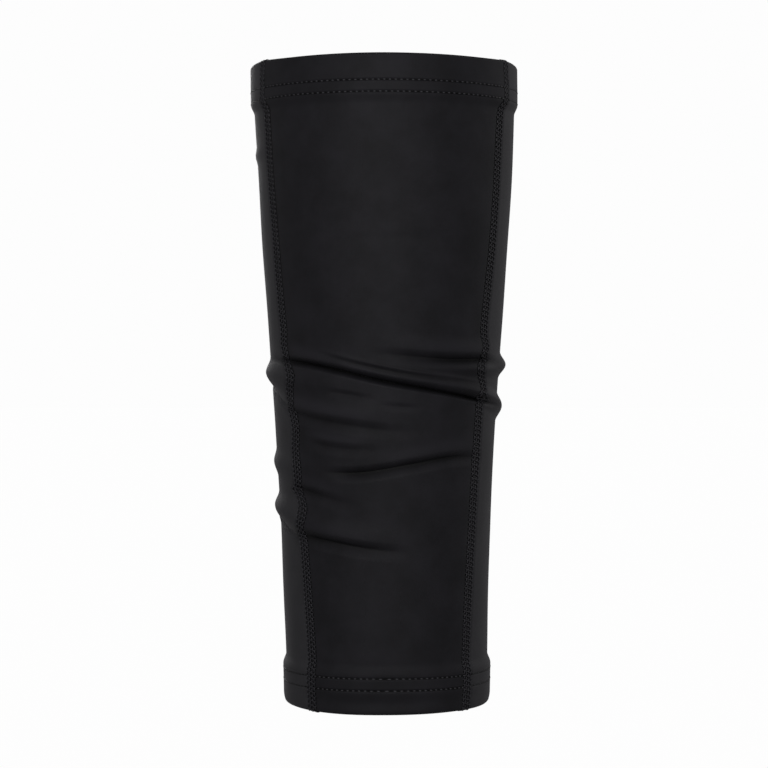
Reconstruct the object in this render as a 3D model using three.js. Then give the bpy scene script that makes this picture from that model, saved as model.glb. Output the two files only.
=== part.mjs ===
// Arm sleeve of black stretch cloth, in the form that it has when it is worn over the elbow.
// Millimetres and degrees. +Z points up the arm, the front faces -Y and +X is the viewer's right.
// The origin lies on the arm's axis, half way along the sleeve. Angles go round the arm from the front (0)
// over the right side (90) to the back (180), and over the left side (-90) the other way.

import * as THREE from "three";

// Length, cloth and hems
const LENGTH = 270;
const CLOTH = 1.1;
const HEM_TURN = 16;
const HEM_AIR = 0.3;
const HEM_RISE = 1.4;
const HEM_STEP = 4.5;

// Joins between the panels, and the bands of cover thread sewn over them
const PANEL_GAP = 0.4;
const BAND_WIDTH = 6.2;
const BAND_THICK = 0.35;
const BAND_LIFT = 0.75;

// Facets: columns round each piece, and steps round the turn of a hem
const FRONT_COLUMNS = 13;
const BACK_COLUMNS = 18;
const BAND_COLUMNS = 2;
const TURN_STEPS = 4;

// Sections of the outside, without hems and folds. A power of 2 is an ellipse, and a higher one is squarer.
const SECTIONS = [
  { z: -135, halfWidth: 42.7, halfDepth: 47.4, middleX: 1.2, power: 2.33 },
  { z: -112, halfWidth: 43.2, halfDepth: 47.8, middleX: 1.0, power: 2.26 },
  { z: -63, halfWidth: 44.6, halfDepth: 49.0, middleX: 0.8, power: 2.1 },
  { z: -27, halfWidth: 46.4, halfDepth: 50.3, middleX: 0.4, power: 2.05 },
  { z: 15, halfWidth: 49.4, halfDepth: 52.0, middleX: 0.5, power: 2 },
  { z: 65, halfWidth: 52.8, halfDepth: 54.0, middleX: 0.5, power: 2 },
  { z: 115, halfWidth: 55.4, halfDepth: 55.8, middleX: 0.2, power: 2 },
  { z: 135, halfWidth: 55.7, halfDepth: 56.3, middleX: 0, power: 1.9 },
];

// Angles of the two seams. Both jog outwards where the upper hem begins.
const SEAMS = [
  { z: -135, left: -42.8, right: 46.6 },
  { z: -112, left: -43.5, right: 48.2 },
  { z: -64, left: -49.8, right: 52.3 },
  { z: -26, left: -53.9, right: 55.2 },
  { z: 20, left: -58.3, right: 56.0 },
  { z: 77, left: -61.5, right: 60.0 },
  { z: 113, left: -62.9, right: 60.9 },
  { z: 120, left: -64.4, right: 64.2 },
  { z: 135, left: -63.8, right: 63.8 },
];

// Rolls of slack cloth round the elbow, from one angle to another, with their heights at even steps between,
// how far they stand out, and half their height at the start and at the end
const ROLLS = [
  { from: -150, to: 25, heights: [8, 4.9, 1.5, -8], rise: 2.6, startHalf: 5, endHalf: 11 },
  { from: -140, to: -30, heights: [-31, -33, -36], rise: 1.4, startHalf: 5, endHalf: 8 },
  { from: -150, to: -8, heights: [-48, -51.5, -53.5, -60], rise: 2.4, startHalf: 5, endHalf: 10 },
  { from: -15, to: 150, heights: [11, 8, 8.4, 9.5], rise: 2.6, startHalf: 4, endHalf: 7 },
  { from: -35, to: 150, heights: [10.5, 1.2, -9.3, -13.5], rise: 2.5, startHalf: 3, endHalf: 8 },
];

// Creases pressed in between the rolls, and how far they reach above and below their own line
const CREASES = [
  { from: -95, to: 95, heights: [11.8, 9.6, 1.7, -4.5, -15], depth: 2.4, above: 3.6, below: 5.5 },
  { from: -35, to: 95, heights: [14, 7.0, 3.2, 0.8, -2], depth: 0.8, above: 3.2, below: 3.2 },
  { from: -12, to: 92, heights: [14.5, 12.2, 10.8, 10.6, 11.5], depth: 1.4, above: 4, below: 4 },
  { from: -92, to: 26, heights: [-1.5, -7.5, -14.4, -18.0, -18.3], depth: 1.3, above: 4, below: 5.5 },
  { from: -50, to: 2, heights: [-22.5, -25.8, -26.5], depth: 0.7, above: 4, below: 5 },
  { from: -36, to: 62, heights: [-36, -35.6, -32.4, -29.7, -30.4], depth: 1.5, above: 4.5, below: 5 },
  { from: -58, to: -12, heights: [-42.6, -45.9, -49.6], depth: 1.0, above: 4, below: 5 },
  { from: -92, to: 16, heights: [-56.5, -60.6, -63.4, -66.7, -68.8], depth: 1.6, above: 4.5, below: 6 },
];

// Power that shapes how a fold fades towards its ends: the lower it is, the sooner the fold is full
const FOLD_FADE = 0.6;

// Steps down the wall: close round the elbow's folds and the hems, wide between them
const WALL_SPANS = [
  { top: 119, bottom: 114, steps: 2 },
  { top: 114, bottom: 22, steps: 8 },
  { top: 22, bottom: -73, steps: 36 },
  { top: -73, bottom: -114, steps: 4 },
  { top: -114, bottom: -119, steps: 2 },
];

const END = LENGTH / 2;
const TURN_OUTER = CLOTH + HEM_AIR / 2;
const TURN_MIDDLE = (CLOTH + HEM_AIR) / 2;
const TURN_START = END - TURN_OUTER;

// Smooth curve through the points (xs, ys), with xs rising
function curveAt(xs, ys, x) {
  const last = xs.length - 1;
  const slope = (k) => {
    const before = Math.max(k - 1, 0);
    const after = Math.min(k + 1, last);
    return (ys[after] - ys[before]) / (xs[after] - xs[before]);
  };
  let k = 0;
  while (k < last - 1 && x > xs[k + 1]) {
    k += 1;
  }
  const span = xs[k + 1] - xs[k];
  const t = THREE.MathUtils.clamp((x - xs[k]) / span, 0, 1);
  const rest = 1 - t;
  const ends = ys[k] * rest * rest * (1 + 2 * t) + ys[k + 1] * t * t * (3 - 2 * t);
  const pull = slope(k) * t * rest * rest - slope(k + 1) * t * t * rest;
  return ends + pull * span;
}

function columnAt(table, column, z) {
  return curveAt(table.map((row) => row.z), table.map((row) => row[column]), z);
}

// Height of a fold at a share of its run
function foldHeight(fold, share) {
  const stations = fold.heights.map((height, k) => k / (fold.heights.length - 1));
  return curveAt(stations, fold.heights, share);
}

// Share of a fold's run at an angle, or null where the fold doesn't reach
function shareOfRun(fold, angle) {
  const share = (angle - fold.from) / (fold.to - fold.from);
  return share > 0 && share < 1 ? share : null;
}

// How strong a fold is along its run: nothing at both ends, full in the middle
function strengthAt(share) {
  return Math.sin(Math.PI * share) ** FOLD_FADE;
}

// Rounded bump: 1 at its middle, 0 from one reach outwards
function bump(distance, reach) {
  const u = Math.min(Math.abs(distance) / reach, 1);
  return Math.cos((Math.PI / 2) * u) ** 2;
}

function rollRise(roll, angle, z) {
  const share = shareOfRun(roll, angle);
  if (share === null) {
    return 0;
  }
  const half = THREE.MathUtils.lerp(roll.startHalf, roll.endHalf, share);
  return roll.rise * strengthAt(share) * bump(z - foldHeight(roll, share), half);
}

function creaseDepth(crease, angle, z) {
  const share = shareOfRun(crease, angle);
  if (share === null) {
    return 0;
  }
  const distance = z - foldHeight(crease, share);
  return crease.depth * strengthAt(share) * bump(distance, distance > 0 ? crease.above : crease.below);
}

// The hems stand out from the single cloth beside them
function hemRise(z) {
  const fromEnd = END - Math.abs(z);
  return HEM_RISE * (1 - THREE.MathUtils.smoothstep(fromEnd, HEM_TURN, HEM_TURN + HEM_STEP));
}

// How far the outside lies beyond its plain section
function liftAt(angle, z) {
  const turn = THREE.MathUtils.euclideanModulo(angle + 180, 360) - 180;
  const rolls = ROLLS.reduce((sum, roll) => sum + rollRise(roll, turn, z), 0);
  const creases = CREASES.reduce((sum, crease) => sum + creaseDepth(crease, turn, z), 0);
  return hemRise(z) + rolls - creases;
}

// Point at an angle and height, a depth inside the outside of the cloth
function clothPoint(angle, z, depth) {
  const lift = liftAt(angle, z) - depth;
  const turn = THREE.MathUtils.degToRad(angle);
  const power = 2 / columnAt(SECTIONS, "power", z);
  const across = Math.sign(Math.sin(turn)) * Math.abs(Math.sin(turn)) ** power;
  const forward = Math.sign(Math.cos(turn)) * Math.abs(Math.cos(turn)) ** power;
  const x = columnAt(SECTIONS, "middleX", z) + (columnAt(SECTIONS, "halfWidth", z) + lift) * across;
  const y = -(columnAt(SECTIONS, "halfDepth", z) + lift) * forward;
  return [x, y, z];
}

// Angle that a length of cloth takes up at a height
function angleOf(length, z) {
  return THREE.MathUtils.radToDeg(length / columnAt(SECTIONS, "halfWidth", z));
}

// Closed solid of a sheet: a grid of stations and columns on both sides (1 and -1), joined at the edges
function sheetSolid(stations, columns, pointAt) {
  const width = columns + 1;
  const lastRow = stations.length - 1;
  const positions = [];
  for (const side of [1, -1]) {
    for (const station of stations) {
      for (let j = 0; j < width; j += 1) {
        positions.push(...pointAt(station, j / columns, side));
      }
    }
  }
  const id = (side, i, j) => ((side > 0 ? 0 : stations.length) + i) * width + j;
  const indices = [];
  const quad = (a, b, c, d) => indices.push(a, b, c, a, c, d);
  for (let i = 0; i < lastRow; i += 1) {
    for (let j = 0; j < columns; j += 1) {
      quad(id(1, i, j), id(1, i + 1, j), id(1, i + 1, j + 1), id(1, i, j + 1));
      quad(id(-1, i, j), id(-1, i, j + 1), id(-1, i + 1, j + 1), id(-1, i + 1, j));
    }
    quad(id(1, i, 0), id(-1, i, 0), id(-1, i + 1, 0), id(1, i + 1, 0));
    quad(id(1, i, columns), id(1, i + 1, columns), id(-1, i + 1, columns), id(-1, i, columns));
  }
  for (let j = 0; j < columns; j += 1) {
    quad(id(1, 0, j), id(1, 0, j + 1), id(-1, 0, j + 1), id(-1, 0, j));
    quad(id(1, lastRow, j), id(-1, lastRow, j), id(-1, lastRow, j + 1), id(1, lastRow, j + 1));
  }
  const geometry = new THREE.BufferGeometry();
  geometry.setAttribute("position", new THREE.Float32BufferAttribute(positions, 3));
  geometry.setIndex(indices);
  geometry.computeVertexNormals();
  return geometry;
}

// Stations across the turn of a hem. `facing` is the angle of the cloth's right side: 0 out, 90 up, 180 in.
function turnStations(startFacing, endFacing, middleZ) {
  const stations = [];
  for (let k = 0; k <= TURN_STEPS; k += 1) {
    const facing = THREE.MathUtils.degToRad(THREE.MathUtils.lerp(startFacing, endFacing, k / TURN_STEPS));
    const z = middleZ + TURN_MIDDLE * Math.sin(facing);
    stations.push({ z, depth: TURN_OUTER - TURN_MIDDLE * Math.cos(facing), facing });
  }
  return stations;
}

// Heights down the wall between the two hems' turns
function wallHeights() {
  const heights = [];
  for (const span of WALL_SPANS) {
    for (let k = 0; k < span.steps; k += 1) {
      heights.push(THREE.MathUtils.lerp(span.top, span.bottom, k / span.steps));
    }
  }
  heights.push(WALL_SPANS[WALL_SPANS.length - 1].bottom);
  return heights;
}

// Stations along a panel's cloth: up inside the upper hem, over its turn, down the wall, and in again below
function panelStations() {
  const innerLayer = CLOTH + HEM_AIR + CLOTH / 2;
  const wall = wallHeights().map((z) => ({ z, depth: CLOTH / 2, facing: 0 }));
  return [
    { z: END - HEM_TURN, depth: innerLayer, facing: Math.PI },
    ...turnStations(180, 0, TURN_START),
    ...wall,
    ...turnStations(0, -180, -TURN_START),
    { z: HEM_TURN - END, depth: innerLayer, facing: -Math.PI },
  ];
}

// A panel from one seam to the next, between the angles that `edges` gives for a height
function panelGeometry(columns, edges) {
  return sheetSolid(panelStations(), columns, (station, share, side) => {
    const [start, end] = edges(station.z);
    const gap = angleOf(PANEL_GAP / 2, station.z);
    const angle = THREE.MathUtils.lerp(start + gap, end - gap, share);
    const z = station.z + side * (CLOTH / 2) * Math.sin(station.facing);
    const depth = station.depth - side * (CLOTH / 2) * Math.cos(station.facing);
    return clothPoint(angle, z, depth);
  });
}

// A band of cover thread over the seam whose angles are in the named column
function bandGeometry(column) {
  const stations = [TURN_START, ...wallHeights(), -TURN_START];
  return sheetSolid(stations, BAND_COLUMNS, (z, share, side) => {
    const angle = columnAt(SEAMS, column, z) + angleOf(BAND_WIDTH, z) * (share - 0.5);
    return clothPoint(angle, z, -BAND_LIFT - (side > 0 ? BAND_THICK : 0));
  });
}

function piece(name, geometry, colour, roughness) {
  const material = new THREE.MeshStandardMaterial({ color: colour, roughness, metalness: 0 });
  const mesh = new THREE.Mesh(geometry, material);
  mesh.name = name;
  return mesh;
}

const frontEdges = (z) => [columnAt(SEAMS, "left", z), columnAt(SEAMS, "right", z)];
const backEdges = (z) => [columnAt(SEAMS, "right", z), columnAt(SEAMS, "left", z) + 360];

const sleeve = new THREE.Group();
sleeve.add(piece("front_panel", panelGeometry(FRONT_COLUMNS, frontEdges), 0x222224, 0.8));
sleeve.add(piece("back_panel", panelGeometry(BACK_COLUMNS, backEdges), 0x2e2e31, 0.75));
sleeve.add(piece("left_seam", bandGeometry("left"), 0x1c1c1f, 0.6));
sleeve.add(piece("right_seam", bandGeometry("right"), 0x1c1c1f, 0.6));

export default sleeve;
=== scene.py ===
"""Black stretch arm sleeve in its worn form.

Two knitted panels with turned hems are joined by flatlock seams, and twin rows of stitches hold the hems.
Sizes are in millimetres and angles in degrees until a mesh is made.
Meshes are in metres, in the frame's axes.
Angles go round the arm from the front (0) over the viewer's right (90) to the back (180).
A place on the cloth is an angle and a run: the height on the wall, which goes on over the turn of a hem
to its inside.
"""

import math
from typing import NamedTuple

import bpy
import numpy as np
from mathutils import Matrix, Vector


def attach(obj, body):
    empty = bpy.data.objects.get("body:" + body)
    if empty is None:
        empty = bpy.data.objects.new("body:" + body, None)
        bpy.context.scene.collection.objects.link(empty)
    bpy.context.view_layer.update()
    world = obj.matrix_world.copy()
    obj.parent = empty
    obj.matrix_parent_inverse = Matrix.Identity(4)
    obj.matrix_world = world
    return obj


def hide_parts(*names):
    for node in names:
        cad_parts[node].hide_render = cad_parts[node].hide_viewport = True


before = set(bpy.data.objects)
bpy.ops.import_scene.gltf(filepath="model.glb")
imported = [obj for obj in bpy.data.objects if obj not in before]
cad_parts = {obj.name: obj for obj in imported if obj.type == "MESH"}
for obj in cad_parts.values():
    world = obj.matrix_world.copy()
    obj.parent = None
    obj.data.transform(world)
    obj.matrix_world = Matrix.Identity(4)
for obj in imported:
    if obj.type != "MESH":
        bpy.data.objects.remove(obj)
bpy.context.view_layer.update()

MM = 0.001
TINY = 1e-9

# Length, cloth and hems
LENGTH = 270.0
CLOTH = 0.8
HEM_TURN = 16.0
HEM_AIR = 0.8
HEM_RISE = 1.4
HEM_STEP = 4.5
HEM_FRONT_SHARE = 0.4
END = LENGTH / 2
TURN_RADIUS = CLOTH + HEM_AIR / 2
TURN_START = END - TURN_RADIUS
TURN_RUN = math.pi * TURN_RADIUS
RUN_END = TURN_START + TURN_RUN + HEM_TURN - TURN_RADIUS

# Rims, and the hollow above the lower one
RIM_SAG = 0.5
RIM_SAG_ANGLE = -10
RIM_SAG_HALF = 60
RIM_CORNER_RISE = 0.6
RIM_CORNER_ANGLE = 66
RIM_CORNER_WIDTH = 14
RIM_TUCK = 0.8
RIM_TUCK_HEIGHT = 4.5
HEM_SCOOP = 0.7
HEM_SCOOP_GAP = 0.6

# Rows of stitches that hold the hems
HEM_PITCH = 2.4
HEM_ROWS = {"upper": (124.0, 119.2), "lower": (-120.4, -125.2)}
ROW_DIP = 0.36
ROW_DIP_WIDTH = 0.45
ROW_DIP_SIDE_SHARE = 0.2
ROW_STAGGER = 0.3
HEM_THREAD_RADIUS = 0.27
HEM_THREAD_THINNING = 0.04
HEM_THREAD_RISE = 0.42
HEM_THREAD_ARCH = 0.5
# Where a hem thread's ends get painted shade as they go into the cloth
HEM_THREAD_HOLE = (0.2, 0.48)
HEM_THREAD_PULL = 0.34
HEM_PULL_MEAN = 0.4
HEM_PULL_SWING = 0.2
HEM_PULL_STEPS = (0.9, 2.3)
HEM_FRONT_PULL = 0.4
HEM_FRONT_WIDTH = 25.0
HEM_SIDE_START = (0, 5)
HEM_SIDE_END = (112, 126)
HEM_SIDE_SINK = 0.05
# Painted shade on hem thread at the sides
HEM_SIDE_SHADE = 0.65
HEM_LOOPER_RADIUS = 0.2
HEM_LOOPER_RISE = 0.2
HEM_LOOPER_SWING = 1.4
HEM_LOOPER_STEPS = 10

# Seams
SEAM_PITCH = 1.9
SEAM_ROWS = (-2.6, -0.87, 0.87, 2.6)
SEAM_END_GAP = 1.0
SEAM_DIP = 0.75
SEAM_DIP_WIDTH = 3.0
SEAM_DIP_POWER = 8
# Painted shade on the cloth under the seams, by height
SEAM_SHADE_HEIGHTS = (-50, 30, 90)
SEAM_SHADE = (0.1, 0.45, 0.65)
SEAM_THREAD_LIFT = 0.08
UPPER_HEM_EDGE = (116, 121)
HEM_SEAM_NARROWING = 0.3
HEM_SEAM_FLATTENING = 0.5
# Painted shade on the seam threads in the upper hem
HEM_SEAM_SHADE = 0.45

# Needle threads of a seam
NEEDLE_RADIUS = 0.24
NEEDLE_LENGTH = 0.8
NEEDLE_STAGGER = 0.5
NEEDLE_RISE = 0.5
NEEDLE_SINK = 0.1
NEEDLE_POWER = 4
# Painted shade on the needle thread's ends where it goes into the cloth, and its strength by height
NEEDLE_HOLE = (0.4, 0.72)
NEEDLE_SHADE = (0.35, 0.7, 0.8)

# Cover thread of a seam, by the share of a stitch: it crosses the rows and goes back
COVER_RADIUS = 0.26
COVER_STEPS = 18
COVER_CROSSED = 0.7
COVER_RETURN = 0.85
COVER_PHASES = (0, 0.08, 0.62, COVER_CROSSED, COVER_RETURN, 1)
COVER_HEIGHTS = (0.2, 0.55, 0.55, 0.2, 0.1, 0.2)
COVER_HELD_DEPTH = 0.15
# Painted shade on the cover thread where it is held down, by height, and on its way back
COVER_SHADE = (0.35, 0.7, 0.8)
COVER_RETURN_SHADE = 0.7

# Looper thread inside a seam
LOOPER_RADIUS = 0.17
LOOPER_DEPTH = 0.15
LOOPER_SWING = 1.3

# Creases, whose lip follows u (1 - u)^2 and is scaled to reach 1
CREASE_ROUND = 0.2
CREASE_POWER = 1.5
LIP_SCALE = 27 / 4
# How far the painted shade of a crease reaches above and below its line, as shares of its cloth above
SHADE_ABOVE = 0.2
SHADE_BELOW = 0.48

# Fineness of the meshes
FRONT_COLUMNS = 98
BACK_COLUMNS = 100
EDGE_CLOSENESS = 0.65
ANGLE_STEP = 0.25
RUN_STEP = 0.12
THREAD_SIDES = 6
DASH_POINTS = 13

# Weights of x, y and z that make a place on the sleeve point away from its axis
AWAY_FROM_AXIS = (1, 1, 0.001)

# Stretches of run from the upper hem's raw edge to the lower one's, with the rows of mesh on each
RUN_SPANS = [
    (RUN_END, TURN_START + TURN_RUN, 12),
    (TURN_START + TURN_RUN, TURN_START, 10),
    (TURN_START, 126, 8),
    (126, 117.2, 44),
    (117.2, 112, 8),
    (112, 24, 56),
    (24, -74, 236),
    (-74, -112, 24),
    (-112, -118.4, 9),
    (-118.4, -127.2, 44),
    (-127.2, -TURN_START, 8),
    (-TURN_START, -TURN_START - TURN_RUN, 10),
    (-TURN_START - TURN_RUN, -RUN_END, 12),
]

# Knit, in millimetres on the cloth. A bump is its strength and its depth in metres
WALE = 0.62
COURSE = 0.48
LOOP_SLANT = 0.8
WALE_DEPTH = 1.2
YARN_SCALE = 0.9
PATCH_SCALE = 0.06
PATCH_DETAIL = 4.0
PATCH_ROUGHNESS = 0.6
SOFT_SCALE = 0.35
YARN_TONE = 0.6
PATCH_TONE = 3.2
TONE_START = 1.4
# How much lighter than the light colour a painted highlight goes
HIGHLIGHT_GAIN = 1.45
# Colour of painted shade on the knit
KNIT_PAINTED_SHADE = (0.0003, 0.0003, 0.0004)
KNIT_ROUGHNESS = 0.62
YARN_ROUGHNESS = 0.12
KNIT_GLOSS = 0.18
SHEEN_ROUGHNESS = 0.35
SHEEN_TINT = (0.98, 0.95, 1.0, 1)
SOFT_BUMP = (0.25, 0.00012)
LOOP_BUMP = (0.18, 0.00003)

# Sewing thread
PLY_ALONG = 9.0
PLY_AROUND = 2.0
PLY_BUMP = (0.5, 0.00004)
THREAD_TONE_SCALE = 1.3
# Colour of painted shade on the thread
THREAD_PAINTED_SHADE = (0.001, 0.001, 0.001)
THREAD_ROUGHNESS = 0.5

# Stage and camera, in metres
FLOOR_HALF = 30.0
FLOOR_HEIGHT = -0.6
FLOOR_PAINT = (0.05, 0.05, 0.05, 1)
FLOOR_GLOW = 0.974
ROOM_COLOUR = (1.0, 0.99, 1.0, 1)
ROOM_LIGHT = 0.23
SURROUND = (0.982, 0.982, 0.982, 1)
WHITE = (1, 1, 1, 1)
CAMERA_DISTANCE = 1.046
CAMERA_HEIGHT = 0.0103
PHOTO_WIDTH = 768
MM_PER_PIXEL = 0.4286
SENSOR = 36.0


class Section(NamedTuple):
    """Outline of the sleeve at a height. A power of 2 is an ellipse, and a higher one is squarer."""

    z: float
    half_width: float
    half_depth: float
    middle_x: float
    power: float


class SeamAngles(NamedTuple):
    """Angles of the two seams at a height."""

    z: float
    left: float
    right: float


class SeamShift(NamedTuple):
    """A height where the folds push a seam aside, towards the viewer's right where it is above 0."""

    column: str
    z: float
    aside: float
    reach: float


class Roll(NamedTuple):
    """Slack cloth that stands out, from one angle to another, with its heights at even steps between."""

    start: float
    end: float
    heights: tuple
    rise: float
    start_half: float
    end_half: float


class Crease(NamedTuple):
    """A line where the cloth is pressed in.

    The cloth above rolls over it by the lip, and the cloth below slopes out.
    The shade is painted shade along the line: it darkens the cloth's colour where little light gets in, and a
    depth of 0 only paints shade.
    """

    start: float
    end: float
    heights: tuple
    depth: float
    above: float
    below: float
    lip: float
    fade_in: float
    fade_out: float
    shade: float


class HighlightStrip(NamedTuple):
    """A painted highlight: the cloth made lighter in a strip that dies away above and below its line."""

    start: float
    end: float
    heights: tuple
    above: float
    below: float
    fade_in: float
    fade_out: float
    light: float


class Wave(NamedTuple):
    """A wave in the cloth: its size, its number round the arm, the climb along it and where it starts."""

    size: float
    number: int
    climb: float
    start: float


class Light(NamedTuple):
    """A soft rectangular light, in metres and watts."""

    name: str
    place: tuple
    size: tuple
    power: float
    aim: tuple


SECTIONS = [
    Section(-135, 42.7, 47.4, 1.2, 2.33),
    Section(-112, 43.2, 47.8, 1.0, 2.26),
    Section(-63, 44.6, 49.0, 0.8, 2.1),
    Section(-27, 46.4, 50.3, 0.4, 2.05),
    Section(15, 49.4, 52.0, 0.5, 2),
    Section(65, 52.8, 54.0, 0.5, 2),
    Section(115, 55.4, 55.8, 0.2, 2),
    Section(135, 55.7, 56.3, 0, 1.9),
]
SEAMS = [
    SeamAngles(-135, -42.8, 46.6),
    SeamAngles(-112, -43.5, 48.2),
    SeamAngles(-64, -49.8, 52.3),
    SeamAngles(-26, -53.9, 55.2),
    SeamAngles(20, -58.3, 56.0),
    SeamAngles(77, -61.5, 60.0),
    SeamAngles(113, -62.9, 60.9),
    SeamAngles(120, -64.4, 64.2),
    SeamAngles(135, -63.8, 63.8),
]
SEAM_SHIFTS = [
    SeamShift("left", 16.5, -0.6, 4.0),
    SeamShift("left", 3.5, 0.85, 3.5),
    SeamShift("left", -18.0, 1.0, 6.0),
    SeamShift("left", -50.0, 0.95, 3.2),
    SeamShift("left", -59.0, -0.95, 3.2),
    SeamShift("right", 15.5, 1.6, 4.0),
    SeamShift("right", -1.8, 1.65, 3.6),
]
ROLLS = [
    Roll(-150, -15, (8, 5.6, 3.2, -0.9), 2.45, 5, 9.6),
    Roll(-140, -30, (-31, -33, -36), 1.4, 5, 8),
    Roll(-150, -20, (-48, -51.3, -53.1, -57.5), 2.4, 5, 9.6),
    Roll(15, 150, (9.2, 8.0, 8.5, 9.5), 2.8, 4.6, 7),
    Roll(5, 150, (4.8, -3.7, -11.3, -14), 2.45, 4.1, 8),
    Roll(-125, -60, (96, 97, 98), 0.7, 4, 4),
    Roll(-38, 60, (15.8, 10.2, 6.0, 3.4, 0.6), 0.55, 1.3, 1.3),
    Roll(-75, 8, (-4, -10, -14), 1.3, 8, 8),
    Roll(-75, 12, (-54, -60.5, -64), 1.0, 7, 7),
    Roll(-5, 75, (17, 14.8, 14.2), 1.0, 6, 6),
]
# Creases, each with painted shade along its line
CREASES = [
    Crease(-80, 84, (11.0, 8.5, 1.5, -4.2, -10.0), 4.0, 2.4, 2.3, 0.25, 0.28, 0.22, 1.0),
    Crease(-36, 60, (13.8, 8.5, 4.4, 1.9, -0.9), 0.6, 1.3, 2.0, 0, 0.25, 0.35, 0.5),
    Crease(-12, 80, (13.8, 12.0, 10.6, 10.4, 8.7), 3.4, 3.0, 4.5, 0.1, 0.6, 0.3, 0.9),
    Crease(-62, 28, (-9.8, -13.6, -16.4, -18.6, -18.3), 1.5, 3.2, 4.5, 0, 0.2, 0.7, 0.35),
    Crease(-104, -46, (2.0, -4.2, -13.5), 1.4, 6.5, 1.3, 0.1, 0.4, 0.3, 0),
    Crease(-33, -3, (-1.9, -3.9, -6.0), 0.7, 2.0, 2.6, 0, 0.4, 0.5, 0.15),
    Crease(-4, 21, (-7.9, -8.9, -9.5), 0.6, 2.0, 2.6, 0, 0.4, 0.5, 0.15),
    Crease(-46, 2, (-23.2, -26.0, -26.5), 1.1, 2.8, 4.0, 0, 0.3, 0.6, 0.3),
    Crease(-36, 62, (-36.0, -35.6, -32.4, -29.7, -30.4), 2.4, 2.8, 4.5, 0.1, 0.2, 0.3, 0.95),
    Crease(-58, -12, (-42.6, -45.9, -49.6), 1.9, 3.2, 4.5, 0, 0.15, 0.8, 0.5),
    Crease(-55, 16, (-61.6, -64.3, -67.0, -68.8), 2.4, 3.2, 5.0, 0.1, 0.25, 0.5, 0.65),
    Crease(-62, -28, (-61.2, -63.2, -65.6), 0, 7.0, 7.0, 0, 0.25, 0.6, 0.5),
    Crease(-104, -44, (-52.0, -59.4, -66.2), 1.4, 6.5, 1.3, 0.1, 0.4, 0.3, 0),
    Crease(-46, -16, (-76.4, -78.4, -79.8), 0.3, 2.5, 3, 0, 0.4, 0.5, 0.1),
    Crease(-28, 34, (59.9, 59.7, 60.0), 0.4, 1.2, 1.4, 0, 0.4, 0.4, 0.25),
]
# Painted highlights on the cloth above the creases
PAINTED_HIGHLIGHTS = [
    HighlightStrip(-34, 52, (12.2, 7.0, 2.9, 0.4, -2.4), 0.35, 0.8, 0.25, 0.35, 0.3),
    HighlightStrip(-58, -24, (14.6, 13.0, 10.0), 3.2, 2.0, 0.3, 0.4, 0.75),
    HighlightStrip(8, 66, (16.4, 15.1, 14.5, 14.0), 3.5, 2.2, 0.4, 0.3, 0.65),
    HighlightStrip(-62, 6, (-5.2, -9.0, -11.8, -14.0), 3.5, 2.4, 0.2, 0.5, 0.8),
    HighlightStrip(-46, 2, (-19.2, -22.0, -22.5), 2.2, 1.8, 0.3, 0.5, 0.7),
    HighlightStrip(-8, 62, (-30.4, -27.2, -24.5, -24.2), 3.0, 2.6, 0.3, 0.3, 0.65),
    HighlightStrip(-58, -22, (-38.2, -40.4, -43.4), 2.8, 2.2, 0.2, 0.4, 0.55),
    HighlightStrip(-58, 8, (-56.6, -59.3, -61.9, -63.8), 3.0, 2.2, 0.15, 0.5, 0.5),
]
EASE_WAVES = [
    Wave(0.10, 2, 23, 0.7),
    Wave(0.08, 3, -17, 2.1),
    Wave(0.06, 5, 11, 4.0),
    Wave(0.05, 7, -8, 1.2),
]
LIGHTS = [
    Light("front_soft", (-0.05, -0.75, 0.25), (0.8, 0.5), 3.8, (0, 0, 0.04)),
    Light("left_soft", (-0.45, 0.25, 0.22), (0.3, 0.4), 0.1, (0, 0, 0.08)),
    Light("right_soft", (1.0, 0.5, 0.5), (0.7, 1.2), 1.9, (0, 0, 0.08)),
    Light("back_soft", (-0.42, 1.8, 0.7), (0.8, 1.0), 14, (0, 0, 0)),
]


def curve_at(xs, ys, x):
    """Smooth curve through the points (xs, ys), with xs rising, at an array x."""
    xs, ys = np.asarray(xs, float), np.asarray(ys, float)
    slopes = np.empty_like(ys)
    slopes[1:-1] = (ys[2:] - ys[:-2]) / (xs[2:] - xs[:-2])
    slopes[0] = (ys[1] - ys[0]) / (xs[1] - xs[0])
    slopes[-1] = (ys[-1] - ys[-2]) / (xs[-1] - xs[-2])
    k = np.clip(np.searchsorted(xs, x) - 1, 0, len(xs) - 2)
    span = xs[k + 1] - xs[k]
    t = np.clip((x - xs[k]) / span, 0, 1)
    rest = 1 - t
    ends = ys[k] * rest**2 * (1 + 2 * t) + ys[k + 1] * t**2 * (3 - 2 * t)
    pull = slopes[k] * t * rest**2 - slopes[k + 1] * t**2 * rest
    return ends + pull * span


def column_at(table, column, z):
    return curve_at([row.z for row in table], [getattr(row, column) for row in table], z)


def smoothstep(x, low, high):
    t = np.clip((x - low) / (high - low), 0, 1)
    return t * t * (3 - 2 * t)


def bell(x, reach):
    """1 at 0, and dying away to both sides."""
    return np.exp(-((x / reach) ** 2))


def wrap_angle(angle):
    return (angle + 180) % 360 - 180


def unit(vectors):
    return vectors / np.maximum(np.linalg.norm(vectors, axis=-1, keepdims=True), TINY)


def arc_radius(z):
    return (column_at(SECTIONS, "half_width", z) + column_at(SECTIONS, "half_depth", z)) / 2


def hem_facing(run):
    """How far round the turn of a hem a run has gone: 0 on the wall, and pi on the inside."""
    return np.clip((np.abs(run) - TURN_START) / TURN_RADIUS, 0, np.pi)


def height_of(run):
    """Height on the sleeve that a run reaches, without folds."""
    inside = np.maximum(np.abs(run) - TURN_START - TURN_RUN, 0)
    height = np.minimum(np.abs(run), TURN_START) + TURN_RADIUS * np.sin(hem_facing(run)) - inside
    return np.sign(run) * height


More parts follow.
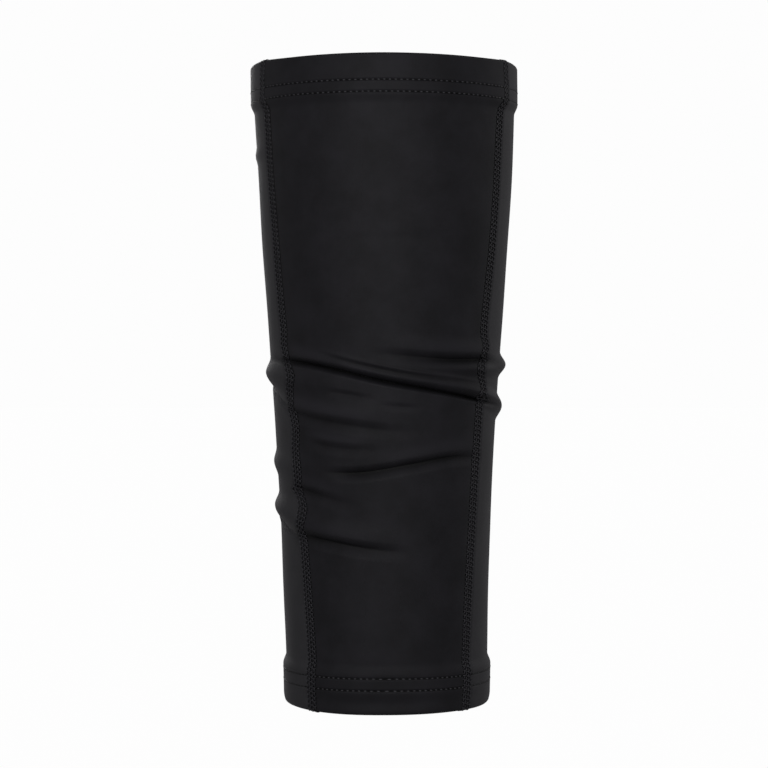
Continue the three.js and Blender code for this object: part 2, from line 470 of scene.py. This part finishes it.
def fold_run(fold, angle):
    """Share of a fold's run at each angle, held at its ends, and the fold's height there."""
    share = np.clip((angle - fold.start) / (fold.end - fold.start), 0, 1)
    stations = np.linspace(0, 1, len(fold.heights))
    return share, curve_at(stations, fold.heights, share)


def faded_run(line, angle):
    """How strong a crease or strip is at each angle, and its height there."""
    share, height = fold_run(line, angle)
    return smoothstep(share, 0, line.fade_in) * smoothstep(1 - share, 0, line.fade_out), height


def crease_shade(angle, z):
    """Painted shade in the depth of the creases, which darkens the cloth's colour: 0 in the open, 1 where no
    light gets in.
    """
    shade = 0
    for crease in CREASES:
        strength, height = faded_run(crease, angle)
        reach = crease.above * np.where(z >= height, SHADE_ABOVE, SHADE_BELOW)
        shade = shade + crease.shade * strength * bell(z - height, reach)
    return shade


def painted_highlight(angle, z):
    """How strong the painted highlight is: 0 where the cloth is plain."""
    light = 0
    for strip in PAINTED_HIGHLIGHTS:
        strength, height = faded_run(strip, angle)
        reach = np.where(z >= height, strip.above, strip.below)
        light = light + strip.light * strength * bell(z - height, reach)
    return light


def roll_lift(roll, angle, z):
    share, height = fold_run(roll, angle)
    half = roll.start_half + (roll.end_half - roll.start_half) * share
    u = np.minimum(np.abs(z - height) / half, 1)
    return roll.rise * np.sin(np.pi * share) * np.cos(np.pi / 2 * u) ** 2


def crease_lift(crease, angle, z):
    """How far a crease moves the cloth out and up. The cloth gets steeper towards it from both sides."""
    strength, height = faded_run(crease, angle)
    up = np.clip((z - height) / crease.above, 0, 1)
    down = np.clip((height - z) / crease.below, 0, 1)
    over = z >= height
    away = np.hypot(np.where(over, up, down), CREASE_ROUND)
    lift = -crease.depth * strength * (np.clip(1 - away, 0, 1) / (1 - CREASE_ROUND)) ** CREASE_POWER
    hang = -crease.lip * crease.above * strength * np.where(over, LIP_SCALE * up * (1 - up) ** 2, 0)
    return lift, hang


def fold_lift(angle, z):
    """How far the rolls and creases move the cloth out and up."""
    out = sum(roll_lift(roll, angle, z) for roll in ROLLS)
    up = 0
    for crease in CREASES:
        crease_out, crease_up = crease_lift(crease, angle, z)
        out = out + crease_out
        up = up + crease_up
    return out, up


def rim_rise(angle, z):
    """The lower rim hangs a little at the front, and the upper rim is a little higher beside the seams."""
    aside = np.clip((angle - RIM_SAG_ANGLE) / RIM_SAG_HALF, -1, 1)
    sag = RIM_SAG * np.cos(np.pi / 2 * aside) ** 2 * smoothstep(-z, END - HEM_TURN, END)
    corner = bell(np.abs(angle) - RIM_CORNER_ANGLE, RIM_CORNER_WIDTH)
    return RIM_CORNER_RISE * corner * smoothstep(z, END - HEM_TURN, END) - sag


def hem_lift(angle, z):
    """Rise of a hem above the single cloth.

    There is a dip along each row of stitches and a hollow above the lower rim.
    """
    front_share = np.cos(np.radians(np.clip(angle, -90, 90))) ** 2
    rise = HEM_RISE * (1 - HEM_FRONT_SHARE * front_share)
    lift = rise * (1 - smoothstep(END - np.abs(z), HEM_TURN, HEM_TURN + HEM_STEP))
    hollow_top = HEM_ROWS["lower"][1] - HEM_SCOOP_GAP
    below = np.clip((hollow_top - z) / (hollow_top + END), 0, 1)
    lift = lift - HEM_SCOOP * front_share * np.sin(np.pi * below) ** 2
    lift = lift - RIM_TUCK * np.clip(1 - (END + z) / RIM_TUCK_HEIGHT, 0, 1) ** 2
    dip = ROW_DIP * (ROW_DIP_SIDE_SHARE + (1 - ROW_DIP_SIDE_SHARE) * front_share)
    for rows in HEM_ROWS.values():
        for row in rows:
            lift = lift - dip * bell(z - row, ROW_DIP_WIDTH)
    return lift


def seam_line(column, z):
    """Angle of a seam, which runs nearly straight over the folds as seen from the front."""
    plain = np.radians(column_at(SEAMS, column, z))
    half_width = column_at(SECTIONS, "half_width", z)
    out, _ = fold_lift(np.degrees(plain), z)
    across = np.sin(plain) * half_width
    for shift in SEAM_SHIFTS:
        if shift.column == column:
            across = across + shift.aside * bell(z - shift.z, shift.reach)
    return np.degrees(np.arcsin(across / (half_width + out)))


def in_upper_hem(z):
    return smoothstep(z, *UPPER_HEM_EDGE)


def seam_angle(column, run, offset):
    """Angle at a distance across a seam, which is narrower in the upper hem."""
    z = height_of(run)
    narrowed = offset * (1 - HEM_SEAM_NARROWING * in_upper_hem(z))
    return seam_line(column, z) + np.degrees(narrowed / arc_radius(z))


def seam_dip(angle, z, width=SEAM_DIP_WIDTH):
    """The cloth is pulled in along the two seams, and less so in the upper hem."""
    narrowed = width * (1 - HEM_SEAM_NARROWING * in_upper_hem(z))
    depth = SEAM_DIP * (1 - HEM_SEAM_FLATTENING * in_upper_hem(z))
    dip = 0
    for column in ("left", "right"):
        apart = np.radians(angle - seam_line(column, z)) * arc_radius(z)
        dip = dip + depth * np.exp(-((apart / narrowed) ** SEAM_DIP_POWER))
    return dip


def ease(angle, z):
    """Small unevenness of cloth that isn't quite tight."""
    turn = np.radians(angle)
    return sum(wave.size * np.sin(wave.number * turn + z / wave.climb + wave.start) for wave in EASE_WAVES)


def cloth_face(angle, run):
    """Points of the cloth's right side, as an array with x, y and z last."""
    angle, run = np.broadcast_arrays(np.asarray(angle, float), np.asarray(run, float))
    turn = wrap_angle(angle)
    z = height_of(run)
    out, up = fold_lift(turn, z)
    lift = out + hem_lift(turn, z) - seam_dip(turn, z) + ease(turn, z)
    lift = lift - TURN_RADIUS * (1 - np.cos(hem_facing(run)))
    moved = z + up + rim_rise(turn, z)
    radians = np.radians(turn)
    power = 2 / column_at(SECTIONS, "power", z)
    across = np.sign(np.sin(radians)) * np.abs(np.sin(radians)) ** power
    forward = np.sign(np.cos(radians)) * np.abs(np.cos(radians)) ** power
    x = column_at(SECTIONS, "middle_x", z) + (column_at(SECTIONS, "half_width", z) + lift) * across
    y = -(column_at(SECTIONS, "half_depth", z) + lift) * forward
    return np.stack([x, y, moved], axis=-1)


def cloth_normal(angle, run):
    """Unit normals of the cloth's right side."""
    along = cloth_face(angle, run - RUN_STEP) - cloth_face(angle, run + RUN_STEP)
    around = cloth_face(angle + ANGLE_STEP, run) - cloth_face(angle - ANGLE_STEP, run)
    return unit(np.cross(along, around))


def above_cloth(angle, run, height):
    """Points a height above the cloth's right side, or below it where the height is negative."""
    return cloth_face(angle, run) + cloth_normal(angle, run) * np.asarray(height)[..., None]


def mesh_object(name, points, faces, cloth=None):
    """Object from points in millimetres and an array of quads.

    The cloth coordinates of each point are the place on the cloth or thread and the painted shade, for its
    material.
    """
    mesh = bpy.data.meshes.new(name)
    mesh.vertices.add(len(points))
    mesh.vertices.foreach_set("co", (np.asarray(points) * MM).astype(np.float32).ravel())
    corners = faces.shape[1]
    mesh.loops.add(faces.size)
    mesh.loops.foreach_set("vertex_index", faces.astype(np.int32).ravel())
    mesh.polygons.add(len(faces))
    mesh.polygons.foreach_set("loop_start", np.arange(0, faces.size, corners, dtype=np.int32))
    if cloth is not None:
        layer = mesh.attributes.new("cloth", "FLOAT_VECTOR", "POINT")
        layer.data.foreach_set("vector", np.asarray(cloth, np.float32).ravel())
    mesh.update(calc_edges=True)
    mesh.validate()
    mesh.shade_smooth()
    piece = bpy.data.objects.new(name, mesh)
    bpy.context.scene.collection.objects.link(piece)
    return piece


def grid_quads(rows, columns, first=0, flip=False):
    i, j = np.meshgrid(np.arange(rows - 1), np.arange(columns - 1), indexing="ij")
    a = (first + i * columns + j).ravel()
    quads = np.stack([a, a + columns, a + columns + 1, a + 1], axis=1)
    return quads[:, ::-1] if flip else quads


def strip_quads(one, other):
    """Quads between two lines of vertex numbers."""
    return np.stack([one[:-1], one[1:], other[1:], other[:-1]], axis=1)


def run_steps():
    """Runs along the cloth, close together where it is folded or sewn."""
    steps = [np.linspace(start, end, count, endpoint=False) for start, end, count in RUN_SPANS]
    return np.concatenate(steps + [np.array([-RUN_END])])


def front_edges(z):
    return seam_line("left", z), seam_line("right", z)


def back_edges(z):
    return seam_line("right", z), seam_line("left", z) + 360


def panel(name, columns, edges, middle):
    """A panel of cloth with both sides and four cut edges, between two edges given as angles for a height.

    The shade is painted shade, above 0 in creases and along the seams, and below 0 where a painted highlight
    lightens the cloth.
    """
    run = run_steps()[:, None]
    z = height_of(run)
    start, end = edges(z)
    even = np.linspace(0, 1, columns + 1)[None, :]
    share = even - EDGE_CLOSENESS * np.sin(2 * np.pi * even) / (2 * np.pi)
    angle = start + (end - start) * share
    run = np.broadcast_to(run, angle.shape)
    outside = cloth_face(angle, run)
    inside = outside - CLOTH * cloth_normal(angle, run)
    rows, width = angle.shape
    count = rows * width
    points = np.concatenate([outside.reshape(-1, 3), inside.reshape(-1, 3)])
    number = np.arange(count).reshape(rows, width)
    faces = [
        grid_quads(rows, width),
        grid_quads(rows, width, first=count, flip=True),
        strip_quads(number[:, 0] + count, number[:, 0])[:, ::-1],
        strip_quads(number[:, -1], number[:, -1] + count)[:, ::-1],
        strip_quads(number[0], number[0] + count)[:, ::-1],
        strip_quads(number[-1] + count, number[-1])[:, ::-1],
    ]
    across = np.radians(angle - middle) * arc_radius(z)
    turn = wrap_angle(angle)
    # Painted shade on the cloth under the seams
    seam_shade = np.clip(seam_dip(turn, z, SEAM_ROWS[-1]) / SEAM_DIP, 0, 1)
    seam_shade = seam_shade * np.interp(z, SEAM_SHADE_HEIGHTS, SEAM_SHADE)
    # Painted shade of the seams and creases, less the painted highlights
    shade = np.clip(seam_shade + (crease_shade(turn, z) - painted_highlight(turn, z)), -1, 1)
    cloth = np.stack([across, run, shade], axis=-1).reshape(-1, 3)
    return mesh_object(name, points, np.concatenate(faces), np.concatenate([cloth, cloth]))


def tubes(lines, radius, shade=0.0):
    """Points, quads and thread coordinates of round tubes along lines, an array of (line, point, xyz).

    The shade of each point is painted shade: 0 for thread in the open, and 1 where it goes down into the
    cloth.
    """
    count, steps, _ = lines.shape
    tangent = unit(np.gradient(lines, axis=1))
    side = unit(np.cross(tangent, lines * AWAY_FROM_AXIS))
    top = np.cross(side, tangent)
    turn = np.arange(THREAD_SIDES) * 2 * np.pi / THREAD_SIDES
    ring = side[:, :, None] * np.cos(turn)[:, None] + top[:, :, None] * np.sin(turn)[:, None]
    radius = np.broadcast_to(radius, (count, steps))[:, :, None, None]
    points = lines[:, :, None] + radius * ring
    number = np.arange(count * steps * THREAD_SIDES).reshape(count, steps, THREAD_SIDES)
    after = np.roll(number, -1, axis=2)
    quads = np.stack([number[:, :-1], after[:, :-1], after[:, 1:], number[:, 1:]], axis=-1)
    length = np.cumsum(np.linalg.norm(np.diff(lines, axis=1, prepend=lines[:, :1]), axis=-1), axis=1)
    shade = np.broadcast_to(shade, (count, steps))[:, :, None]
    thread = np.stack(np.broadcast_arrays(length[:, :, None], turn[None, None, :], shade), axis=-1)
    return points.reshape(-1, 3), quads.reshape(-1, 4), thread.reshape(-1, 3)


def thread_piece(name, parts):
    """One object from several sets of tubes."""
    points, faces, threads, first = [], [], [], 0
    for part_points, part_faces, part_threads in parts:
        points.append(part_points)
        faces.append(part_faces + first)
        threads.append(part_threads)
        first += len(part_points)
    return mesh_object(name, np.concatenate(points), np.concatenate(faces), np.concatenate(threads))


# One stitch of a needle thread, from hole to hole, and how far its points are from the middle
DASH_STEPS = np.linspace(-0.5, 0.5, DASH_POINTS)
DASH_AWAY = np.abs(2 * DASH_STEPS)


def thread_room(run):
    """How far the threads of a seam stand up: 1 on the wall, less in the upper hem and 0 at the rims."""
    return np.abs(np.cos(hem_facing(run))) * (1 - HEM_SEAM_FLATTENING * in_upper_hem(height_of(run)))


def flatlock(name, column):
    """Needle threads in rows and a cover thread that slants across them, along a seam and over both hems.

    A needle thread comes up out of the cloth, runs along it and goes down in each stitch.
    The cover thread is held down at each row, and a looper thread runs on the inside.
    """
    spread = RUN_END - SEAM_END_GAP
    stitches = int(2 * spread / SEAM_PITCH)
    start = np.linspace(spread, -spread, stitches, endpoint=False)
    dash = NEEDLE_RISE - (NEEDLE_RISE + NEEDLE_SINK) * DASH_AWAY**NEEDLE_POWER
    # Painted shade at both ends of each stitch, where the thread goes down into the cloth
    hole = smoothstep(DASH_AWAY, *NEEDLE_HOLE)
    parts = []
    for k, offset in enumerate(SEAM_ROWS):
        run = start[:, None] + SEAM_PITCH * (NEEDLE_LENGTH * DASH_STEPS + NEEDLE_STAGGER * (k % 2))
        angle = seam_angle(column, run, offset)
        height = dash * thread_room(run) + SEAM_THREAD_LIFT
        shade = hole * np.interp(height_of(run), SEAM_SHADE_HEIGHTS, NEEDLE_SHADE)
        parts.append(tubes(above_cloth(angle, run, height), NEEDLE_RADIUS, shade))

    steps = np.arange(stitches * COVER_STEPS) / COVER_STEPS
    run = spread - steps * SEAM_PITCH
    phase = steps % 1
    sway = np.interp(phase, (0, COVER_CROSSED, 1), (-1, 1, -1))
    held = np.cos((len(SEAM_ROWS) - 1) / 2 * np.pi * (sway + 1)) ** 2
    height = np.interp(phase, COVER_PHASES, COVER_HEIGHTS) - COVER_HELD_DEPTH * held
    height = height * thread_room(run) + SEAM_THREAD_LIFT
    cover = above_cloth(seam_angle(column, run, SEAM_ROWS[-1] * sway), run, height)
    # Painted shade on the cover thread: in the upper hem, where it is held down, and on its way back
    hem_painted_shade = HEM_SEAM_SHADE * in_upper_hem(height_of(run))
    held_shade = held * np.interp(height_of(run), SEAM_SHADE_HEIGHTS, COVER_SHADE)
    return_shade = np.interp(phase, (COVER_CROSSED, COVER_RETURN, 1), (0, COVER_RETURN_SHADE, 0))
    shade = np.maximum(hem_painted_shade, np.maximum(held_shade, return_shade))
    parts.append(tubes(cover[None], COVER_RADIUS, shade))

    sway = np.clip(LOOPER_SWING * np.sin(2 * np.pi * steps), -1, 1)
    depth = np.full_like(run, -CLOTH - LOOPER_DEPTH)
    looper = above_cloth(seam_angle(column, run, SEAM_ROWS[-1] * sway), run, depth)
    parts.append(tubes(looper[None], LOOPER_RADIUS))
    return thread_piece(name, parts)


def hem_thread_clear(angle, z):
    """1 where a hem's needle thread lies on the cloth, and 0 on both sides, where tight cloth swallows it."""
    past = np.maximum(seam_line("left", z) - angle, angle - seam_line("right", z))
    side = smoothstep(past, *HEM_SIDE_START) * (1 - smoothstep(np.abs(angle), *HEM_SIDE_END))
    return 1 - side


def stitch_pull(number, row, angle):
    """How tight each stitch of a hem is: some more than others, and those at the front most."""
    slow, quick = HEM_PULL_STEPS
    pull = HEM_PULL_MEAN + HEM_PULL_SWING * np.sin(slow * number + row)
    pull = pull + HEM_PULL_SWING * np.sin(quick * number + 2 * row)
    return pull + HEM_FRONT_PULL * bell(wrap_angle(angle), HEM_FRONT_WIDTH)


def hem_stitches(name, rows):
    """Two rows of needle thread outside a hem, and the looper thread that covers the raw edge inside it."""
    outer, inner = sorted(rows, key=abs, reverse=True)
    girth = 2 * np.pi * arc_radius(np.array(outer))
    stitches = int(girth / HEM_PITCH)
    number = np.arange(stitches)[:, None]
    start = number * 360 / stitches
    hole = smoothstep(DASH_AWAY, *HEM_THREAD_HOLE)
    parts = []
    for k, row in enumerate((outer, inner)):
        angle = start + 360 / stitches * (DASH_STEPS + ROW_STAGGER * k)
        run = np.full_like(angle, row)
        clear = hem_thread_clear(wrap_angle(angle), row)
        rise = HEM_THREAD_RISE - HEM_THREAD_PULL * stitch_pull(number, row, angle)
        arch = rise * (1 - HEM_THREAD_ARCH * DASH_AWAY**2)
        height = arch * clear - HEM_SIDE_SINK * (1 - clear)
        # Painted shade at the ends of each stitch, and on the thread at the sides
        shade = np.maximum(hole, HEM_SIDE_SHADE * (1 - clear))
        radius = HEM_THREAD_RADIUS - HEM_THREAD_THINNING * hole
        parts.append(tubes(above_cloth(angle, run, height), radius, shade))

    steps = np.arange(stitches * HEM_LOOPER_STEPS + 1) / HEM_LOOPER_STEPS
    sway = 0.5 + 0.5 * np.clip(HEM_LOOPER_SWING * np.cos(2 * np.pi * steps), -1, 1)
    height = np.abs(inner) + (np.abs(outer) - np.abs(inner)) * sway
    run = np.sign(outer) * (TURN_START + TURN_RUN + TURN_START - height)
    looper = above_cloth(steps * 360 / stitches, run, np.full_like(run, HEM_LOOPER_RISE))
    parts.append(tubes(looper[None], HEM_LOOPER_RADIUS))
    return thread_piece(name, parts)


def opaque(colour):
    return (*colour, 1)


class Nodes:
    """Short hand for making a material's nodes. A value is an output to link, a number or a colour."""

    def __init__(self, name):
        self.material = bpy.data.materials.new(name)
        self.material.use_nodes = True
        self.tree = self.material.node_tree
        self.tree.nodes.clear()
        output = self.tree.nodes.new("ShaderNodeOutputMaterial")
        self.shader = self.tree.nodes.new("ShaderNodeBsdfPrincipled")
        self.give(output.inputs["Surface"], self.shader.outputs["BSDF"])

    def give(self, socket, value):
        if isinstance(value, bpy.types.NodeSocket):
            self.tree.links.new(value, socket)
        else:
            socket.default_value = value

    def add(self, kind, values, **settings):
        """A node with its settings, and values for inputs by name."""
        node = self.tree.nodes.new(kind)
        for key, setting in settings.items():
            setattr(node, key, setting)
        for key, value in values.items():
            self.give(node.inputs[key], value)
        return node

    def surface(self, values):
        """Values for the shader's inputs by name."""
        for key, value in values.items():
            self.give(self.shader.inputs[key], value)

    def math(self, operation, *values):
        node = self.add("ShaderNodeMath", {}, operation=operation)
        for socket, value in zip(node.inputs, values):
            self.give(socket, value)
        return node.outputs[0]

    def noise(self, place, scale, detail=2.0, roughness=0.55):
        values = {"Vector": place, "Scale": scale, "Detail": detail, "Roughness": roughness}
        return self.add("ShaderNodeTexNoise", values).outputs["Fac"]

    def mix(self, factor, low, high):
        values = {"Factor": factor, "A": low, "B": high}
        return self.add("ShaderNodeMix", values, data_type="RGBA").outputs["Result"]

    def bump(self, height, strength, distance, **normal):
        values = {"Height": height, "Strength": strength, "Distance": distance, **normal}
        return self.add("ShaderNodeBump", values).outputs["Normal"]

    def cloth(self):
        """The cloth's own coordinates: the place as a vector, its two parts in millimetres, and the painted
        shade.
        """
        node = self.add("ShaderNodeAttribute", {}, attribute_type="GEOMETRY", attribute_name="cloth")
        x, y, shade = self.add("ShaderNodeSeparateXYZ", {"Vector": node.outputs["Vector"]}).outputs
        place = self.add("ShaderNodeCombineXYZ", {"X": x, "Y": y})
        return place.outputs["Vector"], x, y, shade


def knit_material(name, dark, light, sheen):
    """Fine jersey: rows of small V shaped loops, with faint tone changes between yarns and over the panel.

    It goes to a painted shade colour where the shade is above 0, and to a painted highlight where it is below
    0.
    """
    nodes = Nodes(name)
    place, across, along, shade = nodes.cloth()
    slant = nodes.math("MULTIPLY", nodes.math("PINGPONG", across, WALE / 2), LOOP_SLANT)
    phase = nodes.math("MULTIPLY", nodes.math("ADD", along, slant), 2 * math.pi / COURSE)
    wales = nodes.math("COSINE", nodes.math("MULTIPLY", across, 2 * math.pi / WALE))
    valley = nodes.math("MULTIPLY", wales, -WALE_DEPTH)
    loops = nodes.math("ADD", nodes.math("SINE", phase), valley)
    yarn = nodes.noise(place, YARN_SCALE)
    patch = nodes.noise(place, PATCH_SCALE, PATCH_DETAIL, PATCH_ROUGHNESS)
    yarn_tone = nodes.math("MULTIPLY", yarn, YARN_TONE)
    clouds = nodes.math("ADD", yarn_tone, nodes.math("MULTIPLY", patch, PATCH_TONE))
    plain = nodes.mix(nodes.math("SUBTRACT", clouds, TONE_START), opaque(dark), opaque(light))
    # Painted highlight where the shade is below 0
    highlight_colour = opaque(HIGHLIGHT_GAIN * part for part in light)
    highlighted = nodes.mix(nodes.math("MULTIPLY", shade, -1.0), plain, highlight_colour)
    soft = nodes.bump(nodes.noise(place, SOFT_SCALE), *SOFT_BUMP)
    nodes.surface({
        "Base Color": nodes.mix(shade, highlighted, opaque(KNIT_PAINTED_SHADE)),
        "Roughness": nodes.math("ADD", nodes.math("MULTIPLY", yarn, YARN_ROUGHNESS), KNIT_ROUGHNESS),
        "Normal": nodes.bump(loops, *LOOP_BUMP, Normal=soft),
        "Specular IOR Level": KNIT_GLOSS,
        "Sheen Weight": sheen,
        "Sheen Roughness": SHEEN_ROUGHNESS,
        "Sheen Tint": SHEEN_TINT,
    })
    return nodes.material


def thread_material(name, dark, light, top_gloss, hole_gloss):
    """Twisted sewing thread: a fine slanted ply along it, and some gloss. Where the shade is above 0 it goes
    to a painted shade colour, and its gloss goes to the hole gloss.
    """
    nodes = Nodes(name)
    place, along, around, shade = nodes.cloth()
    twist = nodes.math("MULTIPLY", around, PLY_AROUND)
    ply = nodes.math("SINE", nodes.math("ADD", nodes.math("MULTIPLY", along, PLY_ALONG), twist))
    plain = nodes.mix(nodes.noise(place, THREAD_TONE_SCALE), opaque(dark), opaque(light))
    nodes.surface({
        "Base Color": nodes.mix(shade, plain, opaque(THREAD_PAINTED_SHADE)),
        "Roughness": THREAD_ROUGHNESS,
        "Normal": nodes.bump(ply, *PLY_BUMP),
        "Specular IOR Level": nodes.math("MULTIPLY_ADD", shade, hole_gloss - top_gloss, top_gloss),
    })
    return nodes.material


front_cloth = knit_material("front_knit", (0.0070, 0.0067, 0.0084), (0.0114, 0.0108, 0.0136), 0.0)
back_cloth = knit_material("back_knit", (0.0215, 0.0210, 0.0235), (0.0265, 0.0260, 0.0291), 0.065)
seam_thread = thread_material("seam_thread", (0.0195, 0.0187, 0.0222), (0.0310, 0.0298, 0.0353), 0.2, 0.2)
hem_thread = thread_material("hem_thread", (0.0260, 0.0248, 0.0295), (0.0500, 0.0482, 0.0550), 0.35, 0.12)

front = panel("front_panel_cloth", FRONT_COLUMNS, front_edges, 0)
back = panel("back_panel_cloth", BACK_COLUMNS, back_edges, 180)
left_seam = flatlock("left_seam_threads", "left")
right_seam = flatlock("right_seam_threads", "right")
upper_stitches = hem_stitches("upper_hem_stitches", HEM_ROWS["upper"])
lower_stitches = hem_stitches("lower_hem_stitches", HEM_ROWS["lower"])

PIECES = [
    (front, front_cloth, "front_cloth", "front_panel"),
    (back, back_cloth, "back_cloth", "back_panel"),
    (left_seam, seam_thread, "seam_thread", "left_seam"),
    (right_seam, seam_thread, "seam_thread", "right_seam"),
    (upper_stitches, hem_thread, "seam_thread", None),
    (lower_stitches, hem_thread, "seam_thread", None),
]
for piece, material, slot, node in PIECES:
    piece.data.materials.append(material)
    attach(piece, "root")
    if node:
        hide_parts(node)


def area_light(light):
    data = bpy.data.lights.new(light.name, "AREA")
    data.shape = "RECTANGLE"
    data.size, data.size_y = light.size
    data.energy = light.power
    lamp = bpy.data.objects.new(light.name, data)
    lamp.location = light.place
    direction = Vector(light.place) - Vector(light.aim)
    lamp.rotation_euler = direction.to_track_quat("Z", "Y").to_euler()
    lamp.visible_camera = False
    bpy.context.scene.collection.objects.link(lamp)


def white_floor():
    """A floor that looks white and lights nothing."""
    corners = np.array([[-1, -1, 0], [1, -1, 0], [1, 1, 0], [-1, 1, 0]]) * FLOOR_HALF / MM
    corners[:, 2] = FLOOR_HEIGHT / MM
    floor = mesh_object("floor", corners, np.array([[0, 1, 2, 3]]))
    paint = Nodes("floor_white")
    paint.surface({
        "Base Color": FLOOR_PAINT,
        "Roughness": 1.0,
        "Specular IOR Level": 0.0,
        "Emission Color": WHITE,
        "Emission Strength": FLOOR_GLOW,
    })
    floor.data.materials.append(paint.material)
    floor.visible_diffuse = False
    floor.visible_glossy = False


def white_surround():
    """A world that looks white, and lights the sleeve like a dim room."""
    world = bpy.data.worlds.new("studio")
    bpy.context.scene.world = world
    world.use_nodes = True
    tree = world.node_tree
    tree.nodes.clear()
    output = tree.nodes.new("ShaderNodeOutputWorld")
    mix = tree.nodes.new("ShaderNodeMixShader")
    path = tree.nodes.new("ShaderNodeLightPath")
    room = tree.nodes.new("ShaderNodeBackground")
    room.inputs["Color"].default_value = ROOM_COLOUR
    room.inputs["Strength"].default_value = ROOM_LIGHT
    white = tree.nodes.new("ShaderNodeBackground")
    white.inputs["Color"].default_value = SURROUND
    tree.links.new(path.outputs["Is Camera Ray"], mix.inputs["Fac"])
    tree.links.new(room.outputs[0], mix.inputs[1])
    tree.links.new(white.outputs[0], mix.inputs[2])
    tree.links.new(mix.outputs[0], output.inputs["Surface"])


def camera():
    data = bpy.data.cameras.new("camera")
    data.sensor_width = SENSOR
    reach = math.hypot(CAMERA_DISTANCE, CAMERA_HEIGHT)
    data.lens = SENSOR * reach / (PHOTO_WIDTH * MM_PER_PIXEL * MM)
    eye = bpy.data.objects.new("camera", data)
    eye.location = (0, -CAMERA_DISTANCE, CAMERA_HEIGHT)
    eye.rotation_euler = (math.pi / 2 - math.atan2(CAMERA_HEIGHT, CAMERA_DISTANCE), 0, 0)
    bpy.context.scene.collection.objects.link(eye)
    bpy.context.scene.camera = eye


white_floor()
white_surround()
for soft_light in LIGHTS:
    area_light(soft_light)
camera()
bpy.context.scene.view_settings.view_transform = "Standard"
